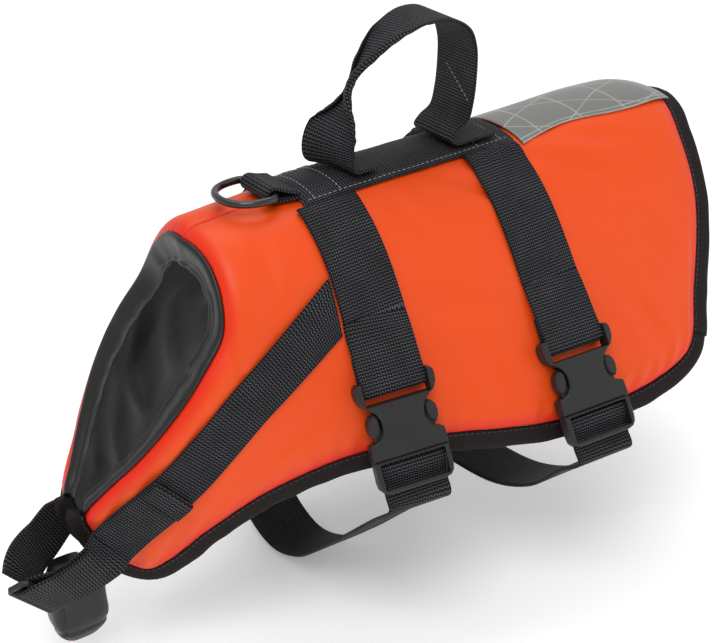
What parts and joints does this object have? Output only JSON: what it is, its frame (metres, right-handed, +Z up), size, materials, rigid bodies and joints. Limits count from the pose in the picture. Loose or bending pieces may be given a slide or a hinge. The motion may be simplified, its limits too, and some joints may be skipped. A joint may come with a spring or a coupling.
{
  "type": "dog life jacket",
  "caption": "Padded flotation vest for a dog, with a back handle, a leash ring, belly straps on side-release buckles and an adjustable chest strap.",
  "frame": {"origin": "middle of the inner face of the back, under the middle of the handle, where the dog's back carries the jacket", "axes": "+X along the back to the tail, -Y to the dog's left, +Z up"},
  "size_m": [0.5001, 0.2743, 0.3528],
  "materials": {
    "coated_cloth": "satin",
    "lining_cloth": "matte",
    "binding_tape": "matte",
    "webbing": "matte",
    "reflective_tape": "satin",
    "buckle_plastic": "matte",
    "ring_metal": "satin"
  },
  "bodies": {
    "jacket": {"panel_left": "coated_cloth", "lining_left": "lining_cloth", "panel_right": "coated_cloth", "lining_right": "lining_cloth", "binding_neck": "binding_tape", "binding_rear": "binding_tape", "binding_hem_left": "binding_tape", "binding_hem_right": "binding_tape", "buckle_front_body": "buckle_plastic", "buckle_front_insert": "buckle_plastic", "strap_front_left": "webbing", "girth_strap_front": "webbing", "buckle_rear_body": "buckle_plastic", "buckle_rear_insert": "buckle_plastic", "strap_rear_left": "webbing", "girth_strap_rear": "webbing", "chest_strap_left": "webbing", "chest_strap_right": "webbing", "slider": "buckle_plastic", "chest_pad": "binding_tape", "spine_webbing": "webbing", "reflective_patch": "reflective_tape", "ring_tab": "webbing", "handle": "webbing"},
    "ring": {"d_ring": "ring_metal"}
  },
  "joints": [
    {"name": "ring_hinge", "type": "hinge", "parent": "jacket", "child": "ring", "pos_m": [-0.096, 0, 0.01522], "axis": [0, 1, 0], "range_deg": [0, 120]}
  ]
}
